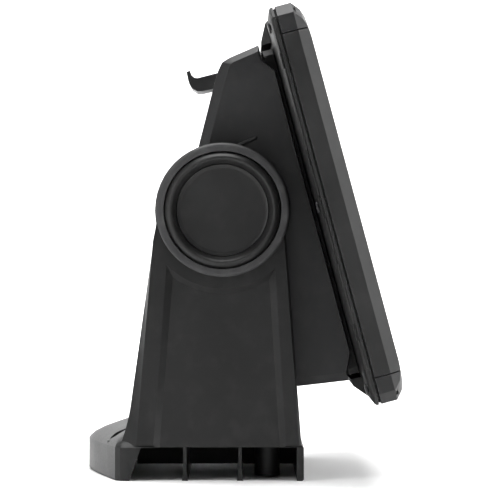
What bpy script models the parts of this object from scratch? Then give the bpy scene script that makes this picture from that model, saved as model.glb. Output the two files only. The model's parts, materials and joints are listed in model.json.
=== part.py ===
"""Chartplotter display in a quick-release cradle on a bail mount.

Metres in Blender, +Z up, screen facing -Y, mid plane X = 0, with the keys and the card door on the
+X side.  The origin is on the ground, under the middle of the object's box.
Lengths below are in millimetres and angles in degrees.
Points are (across, forward, up): across is +X, forward is -Y.  The tilted pieces are drawn in the
display's own frame, whose zero is the tilt axis: forward is out of the screen, up is along it.
"""
import math

import bmesh
import bpy
from mathutils import Matrix, Vector

MM = 0.001
GAP = 0.3

# Tilt axis and rest angle
PIVOT_BACK = 8.16
PIVOT_HEIGHT = 133.1
TILT_BACK = 15.06

# Display housing
DISPLAY_HALF = 140.0
DISPLAY_TOP = 86.7
DISPLAY_BOTTOM = -109.3
DISPLAY_CORNER = 5.0
FRONT_FACE = 62.7
SIDE_FACE_FRONT = 57.1
HOUSING_SEAM = 49.2
RIM_FRONT = 48.2
RIM_REAR = 46.0
BACK_PANEL = 45.2
TOP_CAP_SEAM = 73.3
BOTTOM_CAP_SEAM = -96.5
SHELL_WALL = 2.8
CAP_GAP = 0.5
LENS_LEFT = -128.0
LENS_RIGHT = 100.0
LENS_BOTTOM = -88.0
LENS_TOP = 66.0
LENS_LEDGE = 60.2
FRONT_WALL_BACK = 59.2

# Key column and card door on the right of the screen
KEY_CENTRE_X = 117.0
KEY_SIZE = (22.0, 13.0)
KEY_TOP_UP = 54.0
KEY_PITCH = 21.0
KEY_NAMES = ("power_key", "home_key", "zoom_in_key", "zoom_out_key", "mark_key")
DOOR_LEFT = 104.2
DOOR_RIGHT = 129.8
DOOR_TOP = -54.0
DOOR_AXIS = (61.45, -85.0)
DOOR_HALF_THICK = 1.05

# Docking block on the display's back
BLOCK_HALF = 66.0
BLOCK_REAR = 39.4
BLOCK_TOP = 71.9
BLOCK_BOTTOM = -95.4
RELEASE_AXIS = (40.0, -98.8)

# Cradle
CRADLE_FRONT = 43.1
CRADLE_WIDE = 84.0
CRADLE_NARROW = 76.0
TAPER_TOP = 60.0
TAPER_BOTTOM = 35.0
CRADLE_WALL = 3.4
CRADLE_CHAMFER = 4.0
LEVER_AXIS = (25.0, 64.3)
LEVER_HALF = 16.0
SOCKET_AXIS = (0, -0.95, -0.312)
SOCKET_PITCH = 30.0

# Bail bracket
BAIL_HALF = 88.0
ARM_INNER = 78.3
HUB_RADIUS = 33.4
STUD_HOLE = 6.5
BASE_PLATE_BOTTOM = 16.5
BASE_PLATE_TOP = 20.0
BASE_FRONT = 39.9
FLANGE_REAR = -70.0

# Clamp knobs and the hardware on the tilt axis
KNOB_INNER = 90.1
KNOB_RADIUS = 32.5
KNOB_FACE = 104.0
GRIP_RING_INNER = 28.7
STUD_RADIUS = 5.0
INSERT_RADIUS = 9.0
ROUND_SEGMENTS = 32

AXES = {}
MATERIALS = {
    "bezel_plastic": ((0.018, 0.018, 0.019), 0.42, 0.0),
    "trim_plastic": ((0.022, 0.022, 0.023), 0.38, 0.0),
    "rear_plastic": ((0.014, 0.014, 0.015), 0.5, 0.0),
    "cradle_plastic": ((0.02, 0.02, 0.021), 0.45, 0.0),
    "bail_plastic": ((0.016, 0.016, 0.017), 0.5, 0.0),
    "knob_plastic": ((0.018, 0.018, 0.018), 0.45, 0.0),
    "grip_rubber": ((0.03, 0.03, 0.03), 0.6, 0.0),
    "key_rubber": ((0.03, 0.03, 0.032), 0.55, 0.0),
    "seal_rubber": ((0.01, 0.01, 0.01), 0.8, 0.0),
    "lens_glass": ((0.01, 0.01, 0.012), 0.05, 0.0),
    "lcd_stack": ((0.03, 0.03, 0.035), 0.3, 0.0),
    "aluminium_plate": ((0.6, 0.61, 0.62), 0.35, 1.0),
    "circuit_board": ((0.01, 0.09, 0.04), 0.5, 0.0),
    "antenna_ceramic": ((0.6, 0.55, 0.45), 0.5, 0.0),
    "black_screw": ((0.02, 0.02, 0.02), 0.35, 0.0),
    "steel": ((0.55, 0.55, 0.56), 0.3, 1.0),
    "brass": ((0.7, 0.5, 0.2), 0.35, 1.0),
    "socket_plastic": ((0.012, 0.012, 0.012), 0.4, 0.0),
    "cap_rubber": ((0.02, 0.02, 0.02), 0.7, 0.0),
    "washer_nylon": ((0.05, 0.05, 0.052), 0.5, 0.0),
}


# ---------------------------------------------------------------- shapes and placing

def clear_scene():
    for old in list(bpy.data.objects):
        bpy.data.objects.remove(old)


def point(across, forward, up):
    return Vector((across, -forward, up)) * MM


def material(slot):
    found = bpy.data.materials.get(slot)
    if found:
        return found
    colour, roughness, metallic = MATERIALS[slot]
    made = bpy.data.materials.new(slot)
    made.use_nodes = True
    shader = made.node_tree.nodes["Principled BSDF"]
    shader.inputs["Base Color"].default_value = (*colour, 1.0)
    shader.inputs["Roughness"].default_value = roughness
    shader.inputs["Metallic"].default_value = metallic
    return made


def mesh_object(name, bm):
    """Turn a bmesh into an object whose faces point outwards."""
    bmesh.ops.remove_doubles(bm, verts=bm.verts, dist=0.00001)
    bmesh.ops.triangulate(bm, faces=bm.faces)
    bmesh.ops.recalc_face_normals(bm, faces=bm.faces)
    mesh = bpy.data.meshes.new(name)
    bm.to_mesh(mesh)
    bm.free()
    made = bpy.data.objects.new(name, mesh)
    bpy.context.scene.collection.objects.link(made)
    return made


def loft(name, loops, ring=False):
    """Bridge loops of equal length; the ends are capped, or joined to each other for a ring."""
    bm = bmesh.new()
    rows = [[bm.verts.new(point(*p)) for p in loop] for loop in loops]
    count = len(rows[0])
    pairs = list(zip(rows, rows[1:]))
    if ring:
        pairs.append((rows[-1], rows[0]))
    else:
        bm.faces.new(rows[0])
        bm.faces.new(rows[-1])
    for low, high in pairs:
        for i in range(count):
            j = (i + 1) % count
            bm.faces.new((low[i], low[j], high[j], high[i]))
    return mesh_object(name, bm)


def box(name, across, forward, up):
    loop = [(across[0], forward[0]), (across[1], forward[0]),
            (across[1], forward[1]), (across[0], forward[1])]
    return loft(name, [[(x, f, level) for x, f in loop] for level in up])


def side_prism(name, outline, across):
    """Extrude a (forward, up) outline across the object."""
    return loft(name, [[(x, f, u) for f, u in outline] for x in across])


def front_prism(name, outline, forward):
    """Extrude an (across, up) outline along the forward direction."""
    return loft(name, [[(x, f, u) for x, u in outline] for f in forward])


def rounded_rectangle(left, right, low, high, radius, steps=4):
    """An (across, up) outline with round corners."""
    outline = []
    corners = ((right, high, 0), (left, high, 90), (left, low, 180), (right, low, 270))
    for x, y, start in corners:
        cx = x - math.copysign(radius, x - (left + right) / 2)
        cy = y - math.copysign(radius, y - (low + high) / 2)
        for step in range(steps + 1):
            angle = math.radians(start + 90 * step / steps)
            outline.append((cx + radius * math.cos(angle), cy + radius * math.sin(angle)))
    return outline


def inset(outline, depths):
    """Move each edge of an outline inwards by its own depth; edge i runs from point i to i + 1."""
    count = len(outline)
    area = sum(a[0] * b[1] - b[0] * a[1] for a, b in zip(outline, outline[1:] + outline[:1]))
    sign = 1 if area > 0 else -1
    lines = []
    for i, depth in enumerate(depths):
        start = Vector(outline[i])
        along = (Vector(outline[(i + 1) % count]) - start).normalized()
        normal = Vector((-along.y, along.x)) * sign
        lines.append((start + normal * depth, along))
    moved = []
    for i in range(count):
        here, along = lines[i - 1]
        there, across = lines[i]
        cross = along.x * across.y - along.y * across.x
        gap = there - here
        if abs(cross) < 0.02:
            moved.append(tuple(there))
        else:
            moved.append(tuple(here + along * ((gap.x * across.y - gap.y * across.x) / cross)))
    return moved


def turned(name, profile, centre, axis=(1, 0, 0), segments=ROUND_SEGMENTS, ring=False):
    """Spin a (radius, along) profile about an axis through centre, both in (across, forward, up)."""
    bm = bmesh.new()
    direction = point(*axis).normalized()
    turn = Vector((1, 0, 0)).rotation_difference(direction).to_matrix().to_4x4()
    place = Matrix.Translation(point(*centre)) @ turn
    rows = []
    for radius, along in profile:
        if radius < 0.001:
            rows.append([bm.verts.new(place @ Vector((along * MM, 0, 0)))])
            continue
        row = []
        for step in range(segments):
            angle = 2 * math.pi * step / segments
            around = Vector((along, radius * math.cos(angle), radius * math.sin(angle)))
            row.append(bm.verts.new(place @ (around * MM)))
        rows.append(row)
    pairs = list(zip(rows, rows[1:]))
    if ring:
        pairs.append((rows[-1], rows[0]))
    for low, high in pairs:
        for i in range(segments):
            j = (i + 1) % segments
            if len(low) == 1:
                bm.faces.new((low[0], high[j], high[i]))
            elif len(high) == 1:
                bm.faces.new((low[i], low[j], high[0]))
            else:
                bm.faces.new((low[i], low[j], high[j], high[i]))
    return mesh_object(name, bm)


def cylinder(name, radius, along, centre, axis=(1, 0, 0), segments=24):
    profile = [(0, along[0]), (radius, along[0]), (radius, along[1]), (0, along[1])]
    return turned(name, profile, centre, axis, segments)


def washer(name, inner, outer, along, centre=(0, 0, 0), axis=(1, 0, 0), segments=ROUND_SEGMENTS):
    profile = [(inner, along[0]), (outer, along[0]), (outer, along[1]), (inner, along[1])]
    return turned(name, profile, centre, axis, segments, ring=True)


def combine(target, tool, operation):
    """Apply a Boolean with a tool object, which is used up."""
    step = target.modifiers.new(operation.lower(), "BOOLEAN")
    step.operation = operation
    step.solver = "EXACT"
    step.object = tool
    graph = bpy.context.evaluated_depsgraph_get()
    result = bpy.data.meshes.new_from_object(target.evaluated_get(graph))
    target.modifiers.clear()
    target.data = result
    bpy.data.objects.remove(tool)
    return target


def cut(target, *tools):
    for tool in tools:
        combine(target, tool, "DIFFERENCE")
    return target


def join(target, *tools):
    for tool in tools:
        combine(target, tool, "UNION")
    return target


def mirrored(name, source):
    """A copy of a solid on the other side of X = 0."""
    bm = bmesh.new()
    bm.from_mesh(source.data)
    bmesh.ops.scale(bm, vec=(-1, 1, 1), verts=bm.verts)
    bmesh.ops.reverse_faces(bm, faces=bm.faces)
    return mesh_object(name, bm)


def add_axis(name, offset, parent=None):
    """An empty on a joint axis; offset is its place in the frame its pieces are drawn in."""
    made = bpy.data.objects.new(name, None)
    bpy.context.scene.collection.objects.link(made)
    if parent:
        made.parent = parent
        made.location = point(*offset) - AXES[parent.name]
    AXES[made.name] = point(*offset)
    return made


def merge_flat_faces(mesh):
    """Join the coplanar faces that the Booleans leave behind."""
    bm = bmesh.new()
    bm.from_mesh(mesh)
    bmesh.ops.dissolve_limit(bm, angle_limit=math.radians(0.2), verts=bm.verts, edges=bm.edges)
    bm.to_mesh(mesh)
    bm.free()


def finish(piece, slot, axis=None):
    """Give a piece its material and shading, and hang it on its axis."""
    merge_flat_faces(piece.data)
    piece.data.materials.clear()
    piece.data.materials.append(material(slot))
    piece.data.shade_smooth()
    piece.data.set_sharp_from_angle(angle=math.radians(32))
    if axis:
        piece.parent = axis
        piece.location = -AXES[axis.name]
    return piece


# ---------------------------------------------------------------- display

def housing_outline(side, top, bottom):
    left = -DISPLAY_HALF + side
    return rounded_rectangle(left, -left, DISPLAY_BOTTOM + bottom, DISPLAY_TOP - top, DISPLAY_CORNER, 1)


def front_housing(name, low, high):
    """The part of the chamfered front housing between two heights."""
    levels = (
        (HOUSING_SEAM, 0, 0, 0),
        (SIDE_FACE_FRONT, 0, 0, 0),
        (60.7, 3.6, 4.1, 3.8),
        (62.0, 4.9, 7.6, 7.5),
        (FRONT_FACE, 5.6, DISPLAY_TOP - TOP_CAP_SEAM, BOTTOM_CAP_SEAM - DISPLAY_BOTTOM),
    )
    loops = []
    for forward, side, top, bottom in levels:
        loops.append([(x, forward, u) for x, u in housing_outline(side, top, bottom)])
    whole = loft(name, loops)
    slab = box("slab", (-150, 150), (40, 70), (low, high))
    return combine(whole, slab, "INTERSECT")


def key_centre_up(index):
    return KEY_TOP_UP - KEY_PITCH * index


def key_outline(index, grow):
    half_x = KEY_SIZE[0] / 2 + grow
    half_up = KEY_SIZE[1] / 2 + grow
    up = key_centre_up(index)
    across = (KEY_CENTRE_X - half_x, KEY_CENTRE_X + half_x)
    return rounded_rectangle(*across, up - half_up, up + half_up, 3.0 + grow)


def front_bezel(axis):
    bezel = front_housing("front_bezel", BOTTOM_CAP_SEAM + CAP_GAP, TOP_CAP_SEAM - CAP_GAP)
    side = DISPLAY_HALF - SHELL_WALL
    cavity = box("cavity", (-side, side), (40, FRONT_WALL_BACK), (BOTTOM_CAP_SEAM + 3.3, TOP_CAP_SEAM - 3.3))
    recess = front_prism(
        "recess", rounded_rectangle(LENS_LEFT, LENS_RIGHT, LENS_BOTTOM, LENS_TOP, 4), (LENS_LEDGE, 70))
    window = front_prism(
        "window", rounded_rectangle(LENS_LEFT + 5, LENS_RIGHT - 5, LENS_BOTTOM + 5, LENS_TOP - 5, 3),
        (55, 61))
    cut(bezel, cavity, recess, window)
    for index in range(len(KEY_NAMES)):
        cut(bezel, front_prism("key_hole", key_outline(index, 0.4), (55, 70)))
    doorway = rounded_rectangle(
        DOOR_LEFT - 0.5, DOOR_RIGHT + 0.5, DOOR_AXIS[1] - DOOR_HALF_THICK - 0.35, DOOR_TOP + 0.5, 0.8, 2)
    trunnions = cylinder("trunnions", 0.9, (DOOR_LEFT - 1.6, DOOR_RIGHT + 1.6), (0, *DOOR_AXIS), segments=12)
    cut(bezel, front_prism("doorway", doorway, (55, 70)), trunnions)
    finish(bezel, "bezel_plastic", axis)


def trim_caps(axis):
    side = DISPLAY_HALF - SHELL_WALL
    top = front_housing("top_trim_cap", TOP_CAP_SEAM, 95)
    cut(top, box("hollow", (-side, side), (40, 58.4), (70, DISPLAY_TOP - SHELL_WALL)))
    bottom = front_housing("bottom_trim_cap", -115, BOTTOM_CAP_SEAM)
    cut(bottom, box("hollow", (-side, side), (40, 58.4), (DISPLAY_BOTTOM + SHELL_WALL, -90)))
    finish(top, "trim_plastic", axis)
    finish(bottom, "trim_plastic", axis)


def back_bulge(outline):
    """A sloped rib across the back; its (forward, up) outline starts and ends on the cover."""
    half_low, half_high = 64.0, 61.0
    loops = []
    for side in (-1, 1):
        ends = (half_low,) + (half_high,) * (len(outline) - 2) + (half_low,)
        loops.append([(side * x, *place) for x, place in zip(ends, outline)])
    return loft("bulge", loops)


def rear_cover(axis):
    middle = (DISPLAY_TOP + DISPLAY_BOTTOM) / 2
    levels = ((RIM_FRONT, 0), (46.9, 0), (RIM_REAR, 0.9), (BACK_PANEL, 3.6))
    loops = [[(x, f, u) for x, u in housing_outline(side, side, side)] for f, side in levels]
    cover = loft("rear_cover", loops)
    join(cover, back_bulge([(46.6, 86.3), (44.6, 85.2), (40.3, 76.9), (40.1, 75.0), (46.6, 75.0)]))
    join(cover, back_bulge([(46.6, -108.9), (43.6, -105.6), (40.2, -101.6), (39.6, -98.0), (46.6, -98.0)]))
    side = DISPLAY_HALF - SHELL_WALL
    heights = (DISPLAY_BOTTOM + SHELL_WALL, DISPLAY_TOP - SHELL_WALL)
    cut(cover, box("hollow", (-side, side), (47.2, 55), heights))
    for offset, half in ((0, 5.7), (24.3, 3.8), (-24.3, 3.8), (72.0, 3.8), (-62.0, 4.5)):
        for end in (-1, 1):
            across = sorted((end * (DISPLAY_HALF - 2.0), end * (DISPLAY_HALF + 2.0)))
            cut(cover, box("notch", across, (44, 46.8), (middle + offset - half, middle + offset + half)))
    for x, up in screw_places():
        cut(cover, cylinder("screw_hole", 1.8, (40, 50), (x, 0, up), (0, 1, 0), 12))
    finish(cover, "rear_plastic", axis)


def screw_places():
    places = []
    for x in (-130.0, 130.0):
        for up in (78.0, -11.0, -101.0):
            places.append((x, up))
    return places


def rear_cover_screws(axis):
    profile = [(0, 43.7), (2.4, 43.7), (3.0, 44.2), (3.0, 44.9), (1.5, 44.9), (1.5, 53.0), (0, 53.0)]
    for index, (x, up) in enumerate(screw_places()):
        name = "rear_cover_screw_" + str(index + 1)
        finish(turned(name, profile, (x, 0, up), (0, 1, 0), 10), "black_screw", axis)


def docking_block(axis):
    """The raised block that sits between the cradle's walls, with the catch for the release lever."""
    corner = 2.9
    half = BLOCK_HALF
    outline = [
        (half - corner, BLOCK_TOP), (corner - half, BLOCK_TOP), (-half, BLOCK_TOP - corner),
        (-half, BLOCK_BOTTOM + corner), (corner - half, BLOCK_BOTTOM), (half - corner, BLOCK_BOTTOM),
        (half, BLOCK_BOTTOM + corner), (half, BLOCK_TOP - corner)]
    block = front_prism("docking_block", outline, (BLOCK_REAR, BACK_PANEL - GAP))
    hollow = box("hollow", (4 - half, half - 4), (BLOCK_REAR + 2.5, 50), (BLOCK_BOTTOM + 4, 50))
    catch_room = box("catch_room", (-12.5, 12.5), (40.9, 43.5), (54.3, 69.6))
    catch_mouth = box("catch_mouth", (-12.5, 12.5), (30, 41.2), (54.3, 68.2))
    contact_window = box("contact_window", (-31, 31), (30, 42), (-39, -13))
    cut(block, hollow, catch_room, catch_mouth, contact_window)
    finish(block, "rear_plastic", axis)


def docking_contacts(axis):
    """Connector insert in the docking block, with its contact pins."""
    body = box("docking_contacts", (-30.5, 30.5), (BLOCK_REAR + 0.4, 43.5), (-38.5, -13.5))
    for column in range(6):
        for row in range(2):
            place = (-20.0 + 8.0 * column, 0, -31.0 + 10.0 * row)
            join(body, cylinder("pin", 1.2, (39.1, 41.0), place, (0, 1, 0), 8))
    finish(body, "socket_plastic", axis)


def screen_stack(axis):
    lens = front_prism(
        "touch_lens",
        rounded_rectangle(LENS_LEFT + 0.4, LENS_RIGHT - 0.4, LENS_BOTTOM + 0.4, LENS_TOP - 0.4, 3.6),
        (60.85, FRONT_FACE - 0.2))
    finish(lens, "lens_glass", axis)
    outer = rounded_rectangle(LENS_LEFT + 0.5, LENS_RIGHT - 0.5, LENS_BOTTOM + 0.5, LENS_TOP - 0.5, 3.5)
    inner = rounded_rectangle(LENS_LEFT + 4.5, LENS_RIGHT - 4.5, LENS_BOTTOM + 4.5, LENS_TOP - 4.5, 2.5)
    finish(flat_ring("lens_gasket", outer, inner, (LENS_LEDGE + 0.05, 60.75)), "seal_rubber", axis)
    panel = (LENS_LEFT + 3, LENS_RIGHT - 3)
    height = (LENS_BOTTOM + 3, LENS_TOP - 3)
    finish(box("lcd_panel", panel, (55.7, 58.9), height), "lcd_stack", axis)
    finish(box("heat_spreader", panel, (53.4, 55.3), height), "aluminium_plate", axis)
    board = box("main_board", (-112, 84), (50.8, 52.4), (-72, 52))
    for x, up, width, tall in ((-70, 10, 34, 34), (-20, 20, 22, 22), (25, 5, 16, 26), (55, -35, 20, 14),
                               (-60, -45, 44, 12), (0, -40, 30, 20)):
        join(board, box("chip", (x - width / 2, x + width / 2), (48.2, 51.5), (up - tall / 2, up + tall / 2)))
    finish(board, "circuit_board", axis)


def flat_ring(name, outer, inner, forward):
    """A flat ring between two outlines with the same number of points."""
    back, front = forward
    loops = [
        [(x, back, u) for x, u in outer], [(x, front, u) for x, u in outer],
        [(x, front, u) for x, u in inner], [(x, back, u) for x, u in inner]]
    return loft(name, loops, ring=True)


def housing_seal(axis):
    outer = housing_outline(0.7, 0.7, 0.7)
    inner = housing_outline(2.4, 2.4, 2.4)
    seal = flat_ring("housing_seal", outer, inner, (RIM_FRONT + 0.25, HOUSING_SEAM - 0.25))
    finish(seal, "seal_rubber", axis)


def gps_antenna(axis):
    finish(box("gps_antenna", (-12.5, 12.5), (50.0, 57.6), (77.0, 81.0)), "antenna_ceramic", axis)


def keys(axis):
    for index, name in enumerate(KEY_NAMES):
        key_axis = add_axis(name + "_axis", (KEY_CENTRE_X, FRONT_WALL_BACK, key_centre_up(index)), axis)
        loops = []
        for forward, grow in ((58.0, 1.3), (58.8, 1.3), (58.8, 0), (61.9, 0), (62.5, -0.7)):
            loops.append([(x, forward, u) for x, u in key_outline(index, grow)])
        finish(loft(name, loops), "key_rubber", key_axis)
    low = key_centre_up(len(KEY_NAMES) - 1) - 9
    high = key_centre_up(0) + 9
    finish(box("key_mat", (103, 131), (55.6, 56.8), (low, high)), "key_rubber", axis)
    finish(box("key_board", (103, 131), (53.6, 55.2), (low, high)), "circuit_board", axis)


def card_door(axis):
    door_axis = add_axis("card_door_axis", (0, *DOOR_AXIS), axis)
    forward, up = DOOR_AXIS
    outline = [(forward + DOOR_HALF_THICK, DOOR_TOP), (forward - DOOR_HALF_THICK, DOOR_TOP)]
    for step in range(9):
        angle = math.radians(180 + 180 * step / 8)
        outline.append((forward + DOOR_HALF_THICK * math.cos(angle), up + DOOR_HALF_THICK * math.sin(angle)))
    door = side_prism("card_door", outline, (DOOR_LEFT, DOOR_RIGHT))
    trunnion = cylinder("trunnion", 0.6, (DOOR_LEFT - 1.2, DOOR_RIGHT + 1.2), (0, forward, up), segments=12)
    join(door, trunnion)
    finish(door, "bezel_plastic", door_axis)


def card_reader(axis):
    reader = box("card_reader", (104.5, 129.5), (53.6, 58.8), (-84, -56))
    for up in (-76, -64):
        cut(reader, box("slot", (108, 126), (55, 62), (up - 1.0, up + 1.0)))
    finish(reader, "socket_plastic", axis)


# ---------------------------------------------------------------- cradle

def cradle_outline():
    """Side outline, anticlockwise from the front of the top edge, as (forward, up)."""
    top = [(38.2, 74.4), (22.6, 72.1), (18.6, 70.8), (15.6, 67.2), (11.3, TAPER_TOP), (-2.9, TAPER_BOTTOM)]
    rear = [(-15.6, 11.5), (-18.8, 3.0), (-19.4, -5.0), (-17.5, -14.0)]
    bottom = [(5.0, -85.5), (8.2, -91.4), (13.5, -93.9), (38.4, -97.6), (38.9, -93.6), (CRADLE_FRONT, -84.6)]
    front = [(CRADLE_FRONT, TAPER_BOTTOM), (CRADLE_FRONT, TAPER_TOP), (38.0, 66.2)]
    return top + rear + bottom + front


def cradle_half(up, trim):
    """Half width of the cradle at a height: narrow between the bail's arms, wide above them."""
    share = (up - TAPER_BOTTOM) / (TAPER_TOP - TAPER_BOTTOM)
    share = min(1.0, max(0.0, share))
    return CRADLE_NARROW + (CRADLE_WIDE - CRADLE_NARROW) * share - trim


def tapered_body(name, loops):
    """Loft across X with each point at the half width of its own height; flat faces per band."""
    bm = bmesh.new()
    rows = [[bm.verts.new(point(*p)) for p in loop] for loop in loops]
    count = len(rows[0])
    for low, high in zip(rows, rows[1:]):
        for i in range(count):
            j = (i + 1) % count
            bm.faces.new((low[i], low[j], high[j], high[i]))
    for row in (rows[0], rows[-1]):
        upper = row[0:5] + row[17:19]
        slope = row[4:6] + row[16:18]
        lower = row[5:17]
        for band in (upper, slope, lower):
            bm.faces.new(band)
    return mesh_object(name, bm)


def cradle_shell(axis):
    outline = cradle_outline()
    edge_depths = [3.0, 3.2, 4.4, 4.8, 4.8, 4.8, 4.8, 4.8, 4.8, 4.8, 4.6, 4.3, 4.3,
                   1.0, 0.8, 0.6, 0.6, 0.6, 1.0]
    face = inset(outline, edge_depths)
    levels = ((face, -1, 0.0), (outline, -1, CRADLE_CHAMFER), (outline, 1, CRADLE_CHAMFER), (face, 1, 0.0))
    loops = []
    for points, side, trim in levels:
        loops.append([(side * cradle_half(heights[1], trim), *place)
                      for place, heights in zip(points, outline)])
    shell = tapered_body("cradle_shell", loops)
    inner = inset(outline, [CRADLE_WALL] * 13 + [-8.0, -8.0, -8.0, -8.0, -8.0, -8.0])
    inner[0] = (50.0, 71.2)
    inner[13] = (50.0, -94.4)
    inner[14] = (50.0, -93.0)
    inner[18] = (50.0, 67.0)
    cavity_loops = []
    for side in (-1, 1):
        cavity_loops.append([(side * cradle_half(heights[1], 3.6), *place)
                             for place, heights in zip(inner, outline)])
    cut(shell, tapered_body("cavity", cavity_loops))
    for side in (-1, 1):
        along = sorted((side * 57.0, side * (CRADLE_NARROW - 0.6)))
        join(shell, cylinder("boss", 12.5, along, (0, 0, 0), segments=28))
        bore = sorted((side * 50, side * 90))
        cut(shell, cylinder("bore", INSERT_RADIUS + 0.1, bore, (0, 0, 0), segments=28))
    cut(shell, box("lever_window", (-LEVER_HALF - 1, LEVER_HALF + 1), (-5, 26.5), (60.6, 80.0)))
    for centre in socket_centres():
        cut(shell, cylinder("socket_hole", 8.2, (-12, 12), centre, SOCKET_AXIS, 24))
    finish(shell, "cradle_plastic", axis)


def socket_centres():
    """Where the four socket axes cross the cradle's lower rear wall."""
    return [(SOCKET_PITCH * (index - 1.5), -7.5, -44.5) for index in range(4)]


def cable_sockets(axis):
    """Four cable sockets on one carrier bar inside the wall, each closed by a weather cap."""
    back, rise = SOCKET_AXIS[1:]
    outline = []
    for depth, spread in ((-9.4, -9.0), (-9.4, 9.0), (-6.6, 9.0), (-6.6, -9.0)):
        centre = socket_centres()[0]
        outline.append((centre[1] + back * depth - rise * spread, centre[2] + rise * depth + back * spread))
    carrier = side_prism("cable_sockets", outline, (-58.0, 58.0))
    body = [(0, -8.0), (7.8, -8.0), (7.8, 0.6), (10.2, 0.6), (10.2, 2.4), (7.8, 2.4), (7.8, 8.0), (5.6, 8.0),
            (5.6, 1.0), (0, 1.0)]
    cap = [(0, 2.0), (5.2, 2.0), (5.2, 8.4), (8.4, 8.4), (9.2, 9.2), (9.2, 12.4), (8.2, 13.4), (0, 13.4)]
    for index, centre in enumerate(socket_centres()):
        join(carrier, turned("socket", body, centre, SOCKET_AXIS, 16))
        name = "socket_cap_" + str(index + 1)
        finish(turned(name, cap, centre, SOCKET_AXIS, 16), "cap_rubber", axis)
    finish(carrier, "socket_plastic", axis)


def docking_plate(axis):
    """Wall inside the cradle that faces the display and holds the lever's pin."""
    plate = box("docking_plate", (-70, 70), (34.4, 37.2), (-87, 67.0))
    forward, up = LEVER_AXIS
    for side in (-1, 1):
        ear = box("ear", sorted((side * 19.0, side * 22.0)), (forward - 4, 35.0), (up - 4.5, 67.0))
        join(plate, ear)
    cut(plate, cylinder("pin_bore", 2.1, (-32, 32), (0, forward, up), segments=20))
    cut(plate, box("lever_gap", (-13, 13), (30, 40), (54, 72)))
    cut(plate, box("contact_gap", (-34, 34), (30, 40), (-42, -10)))
    for x, height in plate_screws():
        cut(plate, cylinder("hole", 1.8, (30, 40), (x, 0, height), (0, 1, 0), 12))
    finish(plate, "cradle_plastic", axis)


def plate_screws():
    return [(x, up) for x in (-60.0, 60.0) for up in (50.0, -70.0)]


def docking_plate_screws(axis):
    profile = [(0, 24.0), (1.5, 24.0), (1.5, 37.25), (2.6, 37.25), (2.6, 37.7), (0, 37.7)]
    for index, (x, up) in enumerate(plate_screws()):
        name = "docking_plate_screw_" + str(index + 1)
        finish(turned(name, profile, (x, 0, up), (0, 1, 0), 10), "steel", axis)


def docking_socket(axis):
    """Spring-contact connector in the cradle, facing the display's contacts."""
    body = box("docking_socket", (-33.5, 33.5), (27.0, 38.6), (-41.5, -10.5))
    finish(body, "socket_plastic", axis)


def release_lever(axis):
    lever_axis = add_axis("release_lever_axis", (0, *LEVER_AXIS), axis)
    tail = [
        (25.0, 60.6), (21.5, 61.6), (10.6, 62.7), (5.4, 62.9), (2.9, 63.6), (0.8, 65.7), (-0.1, 69.4),
        (0.2, 74.6), (2.1, 74.9), (2.4, 72.2), (3.4, 70.8), (4.9, 70.1), (15.5, 70.0), (21.8, 69.7),
        (25.0, 68.1)]
    lever = side_prism("release_lever", tail, (-LEVER_HALF, LEVER_HALF))
    hub = cylinder("hub", 3.8, (-LEVER_HALF - 2.0, LEVER_HALF + 2.0), (0, *LEVER_AXIS), segments=24)
    tongue = [(24.0, 61.1), (42.6, 61.1), (42.6, 67.6), (41.2, 67.6), (40.8, 64.9), (24.0, 66.7)]
    join(lever, hub, side_prism("tongue", tongue, (-11.0, 11.0)))
    cut(lever, cylinder("pin_bore", 2.1, (-30, 30), (0, *LEVER_AXIS), segments=20))
    finish(lever, "cradle_plastic", lever_axis)


def lever_pin(axis):
    finish(cylinder("lever_pin", 2.0, (-31, 31), (0, *LEVER_AXIS), segments=20), "steel", axis)


def lever_spring(axis):
    """Torsion coil round the right end of the lever's pin, with two straight legs."""
    wire, coil, turns, per_turn, sides = 0.4, 3.1, 4, 10, 5
    start, pitch = 23.0, 1.3
    path = [Vector((start, LEVER_AXIS[0] + coil, LEVER_AXIS[1] - 8.0))]
    for step in range(turns * per_turn + 1):
        angle = 2 * math.pi * step / per_turn
        across = start + pitch * step / per_turn
        round_pin = (LEVER_AXIS[0] + coil * math.cos(angle), LEVER_AXIS[1] + coil * math.sin(angle))
        path.append(Vector((across, *round_pin)))
    path.append(path[-1] + Vector((0, 0, 3.0)))
    loops = []
    for i, here in enumerate(path):
        ahead = (path[min(i + 1, len(path) - 1)] - path[max(i - 1, 0)]).normalized()
        out = Vector((1, 0, 0))
        out = (out - ahead * out.dot(ahead)).normalized()
        other = ahead.cross(out)
        ring = []
        for side in range(sides):
            angle = 2 * math.pi * side / sides
            ring.append(tuple(here + (out * math.cos(angle) + other * math.sin(angle)) * wire))
        loops.append(ring)
    finish(loft("lever_spring", loops), "steel", axis)


def pivot_inserts(axis):
    right = washer("pivot_insert_right", STUD_RADIUS + 0.1, INSERT_RADIUS, (58.0, 75.6), segments=28)
    finish(mirrored("pivot_insert_left", right), "brass", axis)
    finish(right, "brass", axis)


# ---------------------------------------------------------------- clamp knobs

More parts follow.
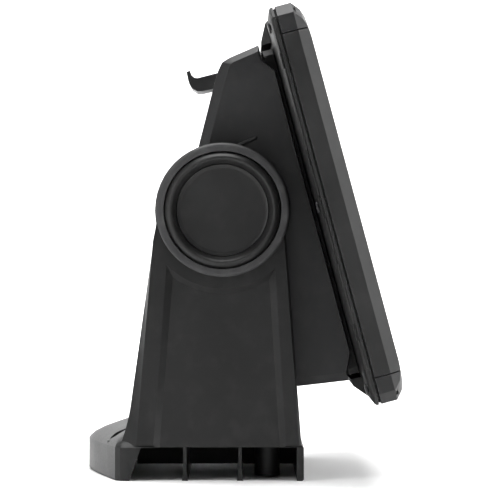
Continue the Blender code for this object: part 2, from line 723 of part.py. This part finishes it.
def clamp_knob(side, axis):
    """One knob with its stud, grip ring and thrust washer, on the tilt axis."""
    sign = {"left": -1, "right": 1}[side]
    knob_axis = add_axis("knob_axis_" + side, (sign * KNOB_INNER, 0, 0), axis)
    core = [
        (5.1, KNOB_INNER), (9.5, KNOB_INNER), (9.5, 97.6), (24.5, 97.6), (24.5, KNOB_INNER + 0.4),
        (28.3, KNOB_INNER + 0.4), (28.3, KNOB_FACE - 0.6), (25.4, KNOB_FACE + 2.0), (24.7, KNOB_FACE + 1.6),
        (22.6, 101.8), (22.6, 99.9), (5.1, 99.9)]
    grip = [
        (GRIP_RING_INNER, KNOB_INNER + 0.6), (31.6, KNOB_INNER + 0.6), (KNOB_RADIUS, KNOB_INNER + 1.6),
        (KNOB_RADIUS, KNOB_FACE - 1.0), (31.8, KNOB_FACE - 0.2), (31.0, KNOB_FACE),
        (GRIP_RING_INNER, KNOB_FACE)]
    stud = [(0, 63.0), (4.2, 63.0), (STUD_RADIUS, 64.0), (STUD_RADIUS, 99.5), (0, 99.5)]
    pieces = (
        ("knob_core_", core, True, "knob_plastic", 40), ("knob_grip_ring_", grip, True, "grip_rubber", 40),
        ("knob_stud_", stud, False, "steel", 20))
    for label, profile, ring, slot, segments in pieces:
        scaled = [(radius, sign * along) for radius, along in profile]
        finish(turned(label + side, scaled, (0, 0, 0), segments=segments, ring=ring), slot, knob_axis)
    cover = [(0, 100.2), (22.3, 100.2), (22.3, 101.7), (20.6, 101.1), (0, 101.1)]
    scaled = [(radius, sign * along) for radius, along in cover]
    finish(turned("knob_cover_" + side, scaled, (0, 0, 0), segments=40), "knob_plastic", knob_axis)
    thrust = washer("thrust_washer_" + side, 5.3, 22.0, sorted((sign * 88.3, sign * 89.8)))
    finish(thrust, "steel", knob_axis)


# ---------------------------------------------------------------- bail bracket

def arm_edges(up):
    """Front edge, rear edge of the outer face, and rear edge of the arm, at a height."""
    drop = 120.5 - up
    front = 31.1 + 0.0745 * drop
    face_rear = -34.2 - 0.0816 * drop
    if up > 34.7:
        rear = -33.9 - 0.139 * drop
    else:
        rear = -45.8 - 0.17 * (34.7 - up) - 0.006 * (34.7 - up) ** 2
    return front, face_rear, rear


def bail_arm(sign):
    """Arm of the bail: hub disc and a tapered blade with a chamfered rear edge."""
    heights = (BASE_PLATE_BOTTOM + 1.0, 20.5, 25.0, 30.0, 34.7, 60.0, 90.0, 118.0)
    bevel = 1.0
    loops = []
    for up in heights:
        front, face_rear, rear = arm_edges(up)
        section = [
            (ARM_INNER, front), (BAIL_HALF - bevel, front), (BAIL_HALF, front - bevel),
            (BAIL_HALF, face_rear), (BAIL_HALF - 4.5, rear), (ARM_INNER, rear)]
        loops.append([(sign * x, f, up) for x, f in section])
    shoulder = [(ARM_INNER, 31.0), (BAIL_HALF - bevel, 31.0), (BAIL_HALF, 30.0), (BAIL_HALF, -32.2),
                (BAIL_HALF - 4.5, -32.6), (ARM_INNER, -32.6)]
    loops.append([(sign * x, f, 122.0 + (31.0 - f) * 0.11) for x, f in shoulder])
    blade = loft("blade", loops)
    hub_profile = [(STUD_HOLE, ARM_INNER), (HUB_RADIUS, ARM_INNER), (HUB_RADIUS, BAIL_HALF - 0.8),
                   (HUB_RADIUS - 0.8, BAIL_HALF), (STUD_HOLE, BAIL_HALF)]
    hub = turned("hub", [(r, sign * a) for r, a in hub_profile], (0, 0, PIVOT_HEIGHT), segments=48, ring=True)
    return join(blade, hub)


def sunk_panel(sign):
    """Cutter for the arm's outer panel: sloped side walls and a round top below the hub."""
    floor_x, mouth_x = BAIL_HALF - 2.2, BAIL_HALF + 0.8
    arc_radius = 41.0
    loops = []
    for x, spread in ((floor_x, 0.0), (mouth_x, 4.2)):
        points = []
        low = BASE_PLATE_BOTTOM - 4.0
        arc = []
        rear_top, front_top = -24.6 - spread, 22.8 + spread
        radius = arc_radius - spread * 0.8
        steps = 12
        start = math.asin(rear_top / radius)
        end = math.asin(front_top / radius)
        for step in range(steps + 1):
            angle = start + (end - start) * step / steps
            arc.append((radius * math.sin(angle), PIVOT_HEIGHT - radius * math.cos(angle)))
        points.append((-31.5 - spread, low))
        points.extend(arc)
        points.append((28.4 + spread, low))
        loops.append([(sign * x, f, u) for f, u in points])
    return loft("panel", loops)


def flange_outline(shrink):
    """Plan outline (across, forward) of the base, moved inwards: bowed at the rear, straight in front."""
    half = BAIL_HALF - shrink
    side_rear = -47.0 + 0.25 * shrink
    outline = [(half, BASE_FRONT - shrink), (half, side_rear)]
    corner_across, corner_back = 8.5, 7.1 - 0.2 * shrink
    for step in range(1, 4):
        angle = math.radians(90.0 * step / 3)
        turn = 1 - math.cos(angle * 0.7)
        outline.append((half - corner_across * turn / 0.546, side_rear - corner_back * math.sin(angle)))
    edge_x, edge_f = outline[-1]
    rear = FLANGE_REAR + shrink
    steps = 6
    for step in range(1, 2 * steps):
        x = edge_x * (1 - step / steps)
        share = abs(x / edge_x) ** 1.25
        outline.append((x, rear + (edge_f - rear) * share))
    right = outline[:5]
    outline.extend((-x, f) for x, f in reversed(right))
    return outline


def bail_base():
    """Base of the bail: plate and round rear flange, hollow below, with ribs and screw bosses."""
    levels = ((0.0, 0.8), (0.8, 0.0), (16.4, 0.0), (17.6, 1.0), (19.6, 3.3), (22.0, 8.0), (24.0, 14.0),
              (25.0, 20.5))
    base = loft("base", [[(x, f, up) for x, f in flange_outline(shrink)] for up, shrink in levels])
    well = [(-36.0, BASE_PLATE_TOP), (45.0, BASE_PLATE_TOP), (45.0, 30.0), (-42.0, 30.0)]
    cut(base, side_prism("well", well, (-77.6, 77.6)))
    wall = 3.4
    inner_half = BAIL_HALF - wall
    inner_front = BASE_FRONT - wall
    cut(base, loft("hollow", [[(x, f, up) for x, f in flange_outline(wall)] for up in (-5.0, 12.9)]))
    cut(base, box("plate_hollow", (-inner_half, inner_half), (-44.0, inner_front), (5.0, BASE_PLATE_BOTTOM)))
    opening = [(-47.8, -5.0), (-40.3, BASE_PLATE_BOTTOM),
               (inner_front, BASE_PLATE_BOTTOM), (inner_front, -5.0)]
    for sign in (-1, 1):
        cut(base, side_prism("side_opening", opening, sorted((sign * 80.0, sign * 95.0))))
    for forward in (-18.7, 8.5):
        rib = [(forward - 0.8, 18.0), (forward - 0.8, 4.0), (forward - 1.5, 0.0),
               (forward + 1.5, 0.0), (forward + 0.8, 4.0), (forward + 0.8, 18.0)]
        join(base, side_prism("rib", rib, (-86.0, 86.0)))
    join(base, box("long_rib", (-1.0, 1.0), (-45.0, 38.0), (2.5, 18.2)))
    for x, forward, seat in base_screws():
        join(base, cylinder("boss", 6.2, (1.0, seat + 0.5), (x, forward, 0), (0, 0, 1), 20))
        cut(base, cylinder("hole", 3.0, (-5, 30), (x, forward, 0), (0, 0, 1), 16))
        cut(base, cylinder("counterbore", 4.6, (seat, 30), (x, forward, 0), (0, 0, 1), 20))
    return base


def base_screws():
    """Centres of the four fixing holes and the height of each screw's seat."""
    return [(x, forward, seat) for x in (-60.0, 60.0) for forward, seat in ((-52.0, 18.0), (22.0, 17.6))]


def bail_bracket():
    bracket = bail_base()
    for sign in (-1, 1):
        join(bracket, bail_arm(sign))
        cut(bracket, sunk_panel(sign))
    bracket.name = "bail_bracket"
    return bracket


def friction_washers(axis):
    right = washer("friction_washer_right", 6.0, 16.0, (CRADLE_NARROW + GAP, ARM_INNER - GAP))
    finish(mirrored("friction_washer_left", right), "washer_nylon", axis)
    finish(right, "washer_nylon", axis)


# ---------------------------------------------------------------- assembly

def build():
    clear_scene()
    ground = add_axis("bail_frame", (0, 0, 0))
    ground.location = (0, PIVOT_BACK * MM, 0)
    finish(bail_bracket(), "bail_plastic", ground)
    tilt = add_axis("tilt_axis", (0, 0, 0))
    tilt.location = (0, PIVOT_BACK * MM, PIVOT_HEIGHT * MM)
    tilt.rotation_euler = (-math.radians(TILT_BACK), 0, 0)
    friction_washers(tilt)
    cradle_shell(tilt)
    docking_plate(tilt)
    docking_plate_screws(tilt)
    docking_socket(tilt)
    cable_sockets(tilt)
    pivot_inserts(tilt)
    release_lever(tilt)
    lever_pin(tilt)
    lever_spring(tilt)
    for side in ("left", "right"):
        clamp_knob(side, tilt)
    release = add_axis("display_release_axis", (0, *RELEASE_AXIS), tilt)
    front_bezel(release)
    trim_caps(release)
    rear_cover(release)
    rear_cover_screws(release)
    docking_block(release)
    docking_contacts(release)
    screen_stack(release)
    housing_seal(release)
    gps_antenna(release)
    keys(release)
    card_door(release)
    card_reader(release)


build()
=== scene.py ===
"""Looks of the chartplotter display: materials, rounded edges, turned parts, light and camera.

Lengths are in millimetres unless a line says metres. TILTED places what is drawn in the display's
own frame, whose zero is on the tilt axis.
"""
import json
import math

import bmesh
import bpy
from mathutils import Matrix, Vector


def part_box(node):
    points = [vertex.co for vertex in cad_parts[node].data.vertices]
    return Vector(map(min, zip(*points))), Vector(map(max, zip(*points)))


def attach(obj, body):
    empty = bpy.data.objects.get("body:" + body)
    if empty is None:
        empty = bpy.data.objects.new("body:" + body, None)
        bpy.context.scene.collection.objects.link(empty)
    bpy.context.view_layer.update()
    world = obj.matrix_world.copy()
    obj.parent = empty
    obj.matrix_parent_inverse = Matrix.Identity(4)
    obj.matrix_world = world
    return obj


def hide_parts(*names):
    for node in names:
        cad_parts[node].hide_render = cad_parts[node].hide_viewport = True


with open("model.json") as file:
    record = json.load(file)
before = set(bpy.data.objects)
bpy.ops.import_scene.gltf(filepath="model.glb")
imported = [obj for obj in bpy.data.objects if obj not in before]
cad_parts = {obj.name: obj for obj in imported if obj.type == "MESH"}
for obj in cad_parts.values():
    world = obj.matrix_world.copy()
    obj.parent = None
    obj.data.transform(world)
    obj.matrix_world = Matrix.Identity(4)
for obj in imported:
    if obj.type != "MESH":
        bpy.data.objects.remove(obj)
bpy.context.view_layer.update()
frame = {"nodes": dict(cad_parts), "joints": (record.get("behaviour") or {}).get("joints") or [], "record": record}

MM = 0.001
JOINTS = {joint["name"]: joint for joint in frame["joints"]}
PIVOT = Vector(JOINTS["tilt"]["pos_m"])
TILT = math.radians(15.06)  # how far the display leans back at rest
TILTED = Matrix.Translation(PIVOT) @ Matrix.Rotation(-TILT, 4, "X")
SIDES = (("left", -1), ("right", 1))

# Camera, in metres: its place, and the width it sees in the plane at SEEN_AT, near the left knob
CAMERA_AT = (-1.6, -0.0023, 0.1166)
SEEN_WIDTH = 0.2404
SEEN_AT = -0.085
SENSOR = 36.0  # millimetres

CAD_EDGE = 0.45       # width given to the rounded edges
THIN_EDGE = 0.15      # the same on shells whose narrow steps leave no room for more
THIN_EDGED = ("rear_cover", "housing_seal", "lens_gasket")
EDGE_STEPS = 3
SHARP_ANGLE = 24      # degrees; a gentler edge belongs to a curve and stays as it is
FLAT_ANGLE = 0.6      # degrees; triangles closer than this are one flat face
WELD_WITHIN = 0.02
FINE = 128            # segments round a large turned part
SMALL = 64            # segments round a thin one
SHEEN = 0.27          # specular level of the dark plastics and rubbers
RUBBED_EDGE = 0.7     # how far wear reaches from an edge
DUST = (0.2, 0.195, 0.19)
PICTURE_MARGIN = 4.0  # of the display panel hidden behind the lens's black border


# ---------------------------------------------------------------- node materials

class Nodes:
    """Short ways to add and join shader nodes of one material."""

    def __init__(self, name):
        self.material = bpy.data.materials.new(name)
        self.material.use_nodes = True
        self.tree = self.material.node_tree
        self.shader = self.tree.nodes["Principled BSDF"]
        self.place = self.add("ShaderNodeTexCoord").outputs["Object"]

    def add(self, kind, **settings):
        node = self.tree.nodes.new(kind)
        for key, value in settings.items():
            setattr(node, key, value)
        return node

    def link(self, source, target):
        self.tree.links.new(source, target)

    def noise(self, size, detail=2.0, stretch=(1, 1, 1)):
        """A cloud of values round 0.5 whose spots are about size millimetres across."""
        mapping = self.add("ShaderNodeMapping")
        mapping.inputs["Scale"].default_value = stretch
        texture = self.add("ShaderNodeTexNoise")
        texture.inputs["Scale"].default_value = 1.0 / (size * MM)
        texture.inputs["Detail"].default_value = detail
        self.link(self.place, mapping.inputs["Vector"])
        self.link(mapping.outputs["Vector"], texture.inputs["Vector"])
        return texture.outputs["Fac"]

    def span(self, value, low, high, start=0.3, end=0.7):
        """Map a value from start..end to low..high."""
        node = self.add("ShaderNodeMapRange")
        for key, number in (("From Min", start), ("From Max", end), ("To Min", low), ("To Max", high)):
            node.inputs[key].default_value = number
        self.link(value, node.inputs["Value"])
        return node.outputs["Result"]

    def math(self, operation, first, second=None):
        node = self.add("ShaderNodeMath", operation=operation)
        for socket, value in zip(node.inputs, (first, second)):
            if isinstance(value, (int, float)):
                socket.default_value = value
            elif value is not None:
                self.link(value, socket)
        return node.outputs[0]

    def mix(self, factor, first, second):
        node = self.add("ShaderNodeMix", data_type="RGBA")
        self.link(factor, node.inputs["Factor"])
        for socket, value in ((node.inputs[6], first), (node.inputs[7], second)):
            if isinstance(value, tuple):
                socket.default_value = (*value, 1.0)
            else:
                self.link(value, socket)
        return node.outputs[2]

    def edges(self, radius):
        """1 on sharp edges, 0 on flat faces."""
        bevel = self.add("ShaderNodeBevel", samples=6)
        bevel.inputs["Radius"].default_value = radius * MM
        geometry = self.add("ShaderNodeNewGeometry")
        dot = self.add("ShaderNodeVectorMath", operation="DOT_PRODUCT")
        self.link(bevel.outputs["Normal"], dot.inputs[0])
        self.link(geometry.outputs["Normal"], dot.inputs[1])
        return self.span(dot.outputs["Value"], 1.0, 0.0, 0.88, 0.985)

    def bump(self, height, depth):
        """Raise the surface by height times depth millimetres."""
        node = self.add("ShaderNodeBump")
        node.inputs["Strength"].default_value = 1.0
        node.inputs["Distance"].default_value = depth * MM
        self.link(height, node.inputs["Height"])
        self.link(node.outputs["Normal"], self.shader.inputs["Normal"])

    def colour(self, value):
        self.link(value, self.shader.inputs["Base Color"])

    def roughness(self, value):
        self.link(value, self.shader.inputs["Roughness"])


def moulded(name, colour, roughness, grain=0.45, depth=0.02, wear=0.35, dust=0.12):
    """Textured moulded plastic or rubber: fine grain, uneven tone, rubbed edges, a little dust."""
    nodes = Nodes(name)
    fine = nodes.noise(grain, 3.0)
    broad = nodes.noise(38.0, 4.0)
    patches = nodes.noise(7.0, 5.0)
    darker = tuple(channel * 0.82 for channel in colour)
    lighter = tuple(min(channel * 1.22 + 0.002, 1.0) for channel in colour)
    tone = nodes.mix(nodes.span(broad, 0.0, 1.0), darker, lighter)
    dusty = nodes.mix(nodes.span(patches, 0.0, dust * 0.2, 0.5, 0.75), tone, DUST)
    worn = nodes.span(patches, wear * 0.4, wear, 0.35, 0.65)
    rubbed = nodes.math("MULTIPLY", nodes.edges(RUBBED_EDGE), worn)
    paler = tuple(channel * 2.2 + 0.012 for channel in colour)
    nodes.colour(nodes.mix(rubbed, dusty, paler))
    uneven = nodes.span(broad, roughness - 0.05, roughness + 0.06)
    speckled = nodes.math("ADD", uneven, nodes.span(fine, -0.05, 0.05))
    nodes.roughness(nodes.math("SUBTRACT", speckled, nodes.math("MULTIPLY", rubbed, 0.12)))
    nodes.shader.inputs["Specular IOR Level"].default_value = SHEEN
    nodes.bump(fine, depth)
    return nodes.material


def metal(name, colour, roughness, stretch):
    """Machined metal: long fine marks and a slightly uneven tone."""
    nodes = Nodes(name)
    marks = nodes.noise(0.6, 3.0, stretch)
    tone = nodes.noise(4.0, 4.0)
    darker = tuple(channel * 0.8 for channel in colour)
    nodes.colour(nodes.mix(nodes.span(tone, 0.0, 1.0), darker, colour))
    nodes.roughness(nodes.span(marks, roughness - 0.1, roughness + 0.12))
    nodes.shader.inputs["Metallic"].default_value = 1.0
    nodes.bump(marks, 0.004)
    return nodes.material


def lens_glass():
    """Black-backed glass with faint wipe marks; the picture area shows a little lighter."""
    nodes = Nodes("lens_glass")
    low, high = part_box("lcd_panel")
    split = nodes.add("ShaderNodeSeparateXYZ")
    nodes.link(nodes.place, split.inputs["Vector"])
    inside = None
    margin = PICTURE_MARGIN * MM
    for axis, start, end in (("X", low.x, high.x), ("Z", low.z, high.z)):
        for operation, limit in (("GREATER_THAN", start + margin), ("LESS_THAN", end - margin)):
            test = nodes.math(operation, split.outputs[axis], limit)
            inside = test if inside is None else nodes.math("MULTIPLY", inside, test)
    nodes.colour(nodes.mix(inside, (0.004, 0.004, 0.0045), (0.010, 0.012, 0.015)))
    smears = nodes.noise(30.0, 5.0, (1, 1, 0.35))
    nodes.roughness(nodes.span(smears, 0.04, 0.13))
    nodes.shader.inputs["Coat Weight"].default_value = 0.4
    nodes.bump(nodes.noise(60.0, 2.0), 0.01)
    return nodes.material


def circuit_board():
    """Green solder mask with copper paths showing through it."""
    nodes = Nodes("circuit_board")
    cells = nodes.add("ShaderNodeTexVoronoi", feature="DISTANCE_TO_EDGE", distance="MANHATTAN")
    cells.inputs["Scale"].default_value = 260.0
    nodes.link(nodes.place, cells.inputs["Vector"])
    paths = nodes.span(cells.outputs["Distance"], 1.0, 0.0, 0.03, 0.06)
    nodes.colour(nodes.mix(paths, (0.01, 0.07, 0.03), (0.02, 0.14, 0.06)))
    nodes.roughness(nodes.span(nodes.noise(3.0), 0.3, 0.45))
    nodes.bump(paths, 0.03)
    return nodes.material


def make_materials():
    """One material for each slot of the record."""
    return {
        "bezel_plastic": moulded("bezel_plastic", (0.011, 0.011, 0.011), 0.44),
        "trim_plastic": moulded("trim_plastic", (0.012, 0.012, 0.0125), 0.40, 0.35, 0.012),
        "rear_plastic": moulded("rear_plastic", (0.008, 0.008, 0.008), 0.52, 0.7, 0.03),
        "cradle_plastic": moulded("cradle_plastic", (0.015, 0.015, 0.0155), 0.46, 0.55, 0.025),
        "bail_plastic": moulded("bail_plastic", (0.007, 0.007, 0.007), 0.48, 0.6, 0.03, 0.45),
        "knob_plastic": moulded("knob_plastic", (0.009, 0.009, 0.009), 0.40, 0.4, 0.012, 0.4),
        "grip_rubber": moulded("grip_rubber", (0.032, 0.032, 0.033), 0.62, 0.5, 0.03, 0.2, 0.5),
        "key_rubber": moulded("key_rubber", (0.030, 0.030, 0.031), 0.58, 0.4, 0.02, 0.3, 0.3),
        "seal_rubber": moulded("seal_rubber", (0.008, 0.008, 0.008), 0.75, 0.5, 0.02, 0.1),
        "cap_rubber": moulded("cap_rubber", (0.016, 0.016, 0.016), 0.68, 0.5, 0.03, 0.2, 0.5),
        "socket_plastic": moulded("socket_plastic", (0.012, 0.012, 0.012), 0.42),
        "washer_nylon": moulded("washer_nylon", (0.055, 0.055, 0.057), 0.5),
        "lcd_stack": moulded("lcd_stack", (0.03, 0.03, 0.035), 0.35, 0.8, 0.005),
        "antenna_ceramic": moulded("antenna_ceramic", (0.55, 0.5, 0.42), 0.55, 0.3, 0.01),
        "aluminium_plate": metal("aluminium_plate", (0.6, 0.61, 0.62), 0.38, (1, 1, 0.1)),
        "black_screw": moulded("black_screw", (0.014, 0.014, 0.015), 0.35, 0.3, 0.006, 0.6),
        "steel": metal("steel", (0.55, 0.55, 0.56), 0.3, (0.2, 1, 1)),
        "brass": metal("brass", (0.7, 0.5, 0.2), 0.32, (0.2, 1, 1)),
        "lens_glass": lens_glass(),
        "circuit_board": circuit_board(),
    }


MATERIALS = make_materials()
SLOT_OF = {part["node"]: part["material_slot"] for part in frame["record"]["subparts"]}


# ---------------------------------------------------------------- mesh helpers

def shown(name, bm, slot, body, *stands_for):
    """Make a smooth-shaded piece from a bmesh in world places, and let it ride on its body."""
    bmesh.ops.recalc_face_normals(bm, faces=bm.faces)
    mesh = bpy.data.meshes.new(name)
    bm.to_mesh(mesh)
    bm.free()
    mesh.materials.append(MATERIALS[slot])
    mesh.shade_smooth()
    piece = bpy.data.objects.new(name, mesh)
    bpy.context.scene.collection.objects.link(piece)
    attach(piece, body)
    if stands_for:
        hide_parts(*stands_for)


def skin(bm, rows):
    """Join closed rings of equally many vertices by faces."""
    for low, high in zip(rows, rows[1:]):
        for i in range(len(low)):
            j = (i + 1) % len(low)
            bm.faces.new((low[i], low[j], high[j], high[i]))


def filleted(profile, radius, steps=4):
    """Round each corner of a closed (radius, along) profile that is away from the axis."""
    count = len(profile)
    result = []
    for i, here in enumerate(profile):
        here = Vector(here)
        before, after = Vector(profile[i - 1]), Vector(profile[(i + 1) % count])
        one, two = (before - here), (after - here)
        if here.x < 0.01:
            result.append(tuple(here))
            continue
        reach = min(radius, one.length * 0.45, two.length * 0.45)
        one, two = here + one.normalized() * reach, here + two.normalized() * reach
        for step in range(steps + 1):
            t = step / steps
            spot = one * (1 - t) ** 2 + here * (2 * t * (1 - t)) + two * t ** 2
            result.append(tuple(spot))
    return result


def spun(profile, place, segments):
    """A closed (radius, along) profile turned about the X axis of place."""
    bm = bmesh.new()
    rows = []
    for radius, along in profile:
        if radius < 0.001:
            rows.append([bm.verts.new(place @ (Vector((along, 0, 0)) * MM))])
            continue
        rows.append([
            bm.verts.new(place @ (Vector((along, radius * math.cos(a), radius * math.sin(a))) * MM))
            for a in (2 * math.pi * step / segments for step in range(segments))])
    for low, high in zip(rows, rows[1:] + rows[:1]):
        for i in range(segments):
            j = (i + 1) % segments
            if len(low) == 1 and len(high) == 1:
                break
            if len(low) == 1:
                bm.faces.new((low[0], high[j], high[i]))
            elif len(high) == 1:
                bm.faces.new((low[i], low[j], high[0]))
            else:
                bm.faces.new((low[i], low[j], high[j], high[i]))
    return bm


# ---------------------------------------------------------------- CAD nodes

def dress_cad_node(node):
    """Give a CAD node its material and rounded edges."""
    piece = frame["nodes"][node]
    slot = SLOT_OF[node]
    piece.data.materials.clear()
    piece.data.materials.append(MATERIALS[slot])
    weld = piece.modifiers.new("weld", "WELD")
    weld.merge_threshold = WELD_WITHIN * MM
    if slot == "lens_glass":
        # smooth shading would bend the reflections near its edge
        piece.data.shade_flat()
        return
    flats = piece.modifiers.new("flats", "DECIMATE")
    flats.decimate_type = "DISSOLVE"
    flats.angle_limit = math.radians(FLAT_ANGLE)
    edge = piece.modifiers.new("edge", "BEVEL")
    edge.limit_method = "ANGLE"
    edge.angle_limit = math.radians(SHARP_ANGLE)
    edge.width = (THIN_EDGE if node in THIN_EDGED else CAD_EDGE) * MM
    edge.segments = EDGE_STEPS
    edge.use_clamp_overlap = True
    piece.data.shade_smooth()
    flatten = piece.modifiers.new("flatten", "WEIGHTED_NORMAL")
    flatten.mode = "FACE_AREA"
    flatten.weight = 100
    flatten.keep_sharp = True


# ---------------------------------------------------------------- clamp knobs

# Closed outlines, (radius, place along the tilt axis), of the right knob's turned parts
KNOB_CORE = [
    (5.1, 90.1), (9.5, 90.1), (9.5, 97.6), (24.5, 97.6), (24.5, 90.5), (28.3, 90.5), (28.3, 103.0),
    (27.4, 104.7), (26.2, 105.7), (25.2, 105.9), (24.3, 105.1), (23.1, 102.9), (22.6, 101.8),
    (22.6, 99.9), (5.1, 99.9)]
KNOB_COVER = [(0, 100.2), (22.3, 100.2), (22.3, 101.7), (21.6, 101.35), (20.4, 101.1), (0, 101.1)]
KNOB_GRIP = [
    (28.7, 90.7), (31.6, 90.7), (32.5, 91.7), (32.5, 94.0), (32.1, 94.4), (32.5, 94.8), (32.5, 100.0),
    (32.1, 100.4), (32.5, 100.8), (32.5, 103.0), (31.9, 103.8), (31.0, 104.0), (28.7, 104.0)]
KNOB_STUD = [(0, 63.0), (4.2, 63.0), (5.0, 64.0), (5.0, 99.5), (0, 99.5)]


KNOB_PARTS = (
    ("knob_core_", KNOB_CORE, 0.5, "knob_plastic", FINE),
    ("knob_cover_", KNOB_COVER, 0.2, "knob_plastic", FINE),
    ("knob_grip_ring_", KNOB_GRIP, 0.3, "grip_rubber", FINE),
    ("knob_stud_", KNOB_STUD, 0.3, "steel", SMALL))


def clamp_knob(side, sign):
    """A clamp knob's four turned parts, in place of its faceted CAD solids."""
    for label, profile, fillet, slot, segments in KNOB_PARTS:
        placed = [(radius, sign * along) for radius, along in filleted(profile, fillet)]
        bm = spun(placed, TILTED, segments)
        shown("round_" + label + side, bm, slot, "knob_" + side, label + side)


# ---------------------------------------------------------------- cradle ridge

RIDGE_ENDS = ((15.65, 29.3), (25.7, 30.7))  # (forward, up) in the display's frame
RIDGE_STEPS = 10
RIDGE_ROOT, RIDGE_RISE = 0.5, 0.55          # how deep it sits in the shell, how far it stands out
RIDGE_FOOT, RIDGE_CREST = 0.9, 0.45         # half widths
RIDGE_SECTION = (
    (-RIDGE_ROOT, -RIDGE_FOOT), (0.1, -RIDGE_FOOT), (RIDGE_RISE, -RIDGE_CREST),
    (RIDGE_RISE, RIDGE_CREST), (0.1, RIDGE_FOOT), (-RIDGE_ROOT, RIDGE_FOOT))
WELL_OUTSIDE = 100                          # a place beyond the cradle's side to look in from


def cradle_ridge(side, sign):
    """The short moulded ridge on the cradle's side, just above the knob, laid on the CAD surface."""
    shell = frame["nodes"]["cradle_shell"]
    start, end = RIDGE_ENDS
    away = TILTED.to_3x3() @ Vector((sign, 0, 0))
    up = TILTED.to_3x3() @ Vector((0, 0, 1))
    bm = bmesh.new()
    rows = []
    for step in range(RIDGE_STEPS + 1):
        share = step / RIDGE_STEPS
        forward, height = (a + (b - a) * share for a, b in zip(start, end))
        from_outside = TILTED @ (Vector((sign * WELL_OUTSIDE, -forward, height)) * MM)
        found, spot, _, _ = shell.ray_cast(from_outside, -away)
        if not found:
            raise RuntimeError("the cradle's side is not where the ridge stands")
        rows.append([bm.verts.new(spot + (away * out + up * above) * MM) for out, above in RIDGE_SECTION])
    skin(bm, rows)
    bm.faces.new(rows[0])
    bm.faces.new(reversed(rows[-1]))
    shown("cradle_ridge_" + side, bm, "cradle_plastic", "cradle")


# ---------------------------------------------------------------- stage

FLOOR_RADIUS, FLOOR_BEND, WALL_HEIGHT = 3.0, 1.6, 4.0  # metres
BEND_STEPS, FLOOR_SIDES = 12, 96
WORLD_LIGHT = 0.1
# Name, place, target, size (metres) and power (watts)
LAMPS = (
    ("overhead", (0.0, 0.0, 1.3), (0, 0, 0.1), (1.2, 1.0), 34),
    ("front_strip", (-0.5, -1.2, 0.4), (0, 0, 0.12), (0.4, 1.1), 20),
    ("rear_strip", (-0.9, 1.0, 0.4), (0, 0, 0.1), (0.4, 1.1), 7),
    ("wall", (1.2, 0.0, 1.9), (4.2, 0, 0.5), (2.4, 0.6), 240))


def soft_light(name, at, target, size, power):
    data = bpy.data.lights.new(name, "AREA")
    data.shape = "RECTANGLE"
    data.size, data.size_y = size
    data.energy = power
    data.spread = math.radians(180)
    lamp = bpy.data.objects.new(name, data)
    lamp.location = at
    lamp.rotation_euler = (Vector(target) - Vector(at)).to_track_quat("-Z", "Y").to_euler()
    bpy.context.scene.collection.objects.link(lamp)


def backdrop():
    """Pale round floor that curves up into a wall, which also stands behind the camera."""
    nodes = Nodes("studio_floor")
    shade = nodes.mix(nodes.span(nodes.noise(400.0), 0.0, 1.0), (0.86, 0.86, 0.86), (0.9, 0.9, 0.9))
    nodes.colour(shade)
    nodes.roughness(nodes.span(nodes.noise(90.0), 0.7, 0.8))
    bm = bmesh.new()
    rings = [(FLOOR_RADIUS, 0.0)]
    for step in range(1, BEND_STEPS + 1):
        angle = math.pi / 2 * step / BEND_STEPS
        rings.append((FLOOR_RADIUS + FLOOR_BEND * math.sin(angle), FLOOR_BEND * (1 - math.cos(angle))))
    rings.append((FLOOR_RADIUS + FLOOR_BEND, WALL_HEIGHT))
    turns = [2 * math.pi * i / FLOOR_SIDES for i in range(FLOOR_SIDES)]
    rows = [[bm.verts.new((radius * math.cos(a), radius * math.sin(a), height)) for a in turns]
            for radius, height in rings]
    centre = bm.verts.new((0, 0, 0))
    for i in range(FLOOR_SIDES):
        bm.faces.new((centre, rows[0][i], rows[0][(i + 1) % FLOOR_SIDES]))
    skin(bm, rows)
    bmesh.ops.recalc_face_normals(bm, faces=bm.faces)
    mesh = bpy.data.meshes.new("studio_floor")
    bm.to_mesh(mesh)
    bm.free()
    mesh.materials.append(nodes.material)
    mesh.shade_smooth()
    floor = bpy.data.objects.new("studio_floor", mesh)
    bpy.context.scene.collection.objects.link(floor)


def world_light():
    world = bpy.data.worlds.new("studio")
    bpy.context.scene.world = world
    world.use_nodes = True
    back = world.node_tree.nodes["Background"]
    back.inputs["Color"].default_value = (1, 1, 1, 1)
    back.inputs["Strength"].default_value = WORLD_LIGHT


def camera():
    data = bpy.data.cameras.new("camera")
    distance = SEEN_AT - CAMERA_AT[0]
    data.sensor_width = SENSOR
    data.lens = SENSOR * distance / SEEN_WIDTH
    data.clip_start, data.clip_end = 0.05, 50
    made = bpy.data.objects.new("camera", data)
    made.location = CAMERA_AT
    made.rotation_euler = (math.radians(90), 0, math.radians(-90))
    bpy.context.scene.collection.objects.link(made)
    bpy.context.scene.camera = made


def studio():
    backdrop()
    world_light()
    for lamp in LAMPS:
        soft_light(*lamp)
    camera()
    bpy.context.scene.view_settings.view_transform = "Standard"


# ---------------------------------------------------------------- build

def build():
    for node in frame["nodes"]:
        dress_cad_node(node)
    for side, sign in SIDES:
        clamp_knob(side, sign)
        cradle_ridge(side, sign)
    studio()


build()
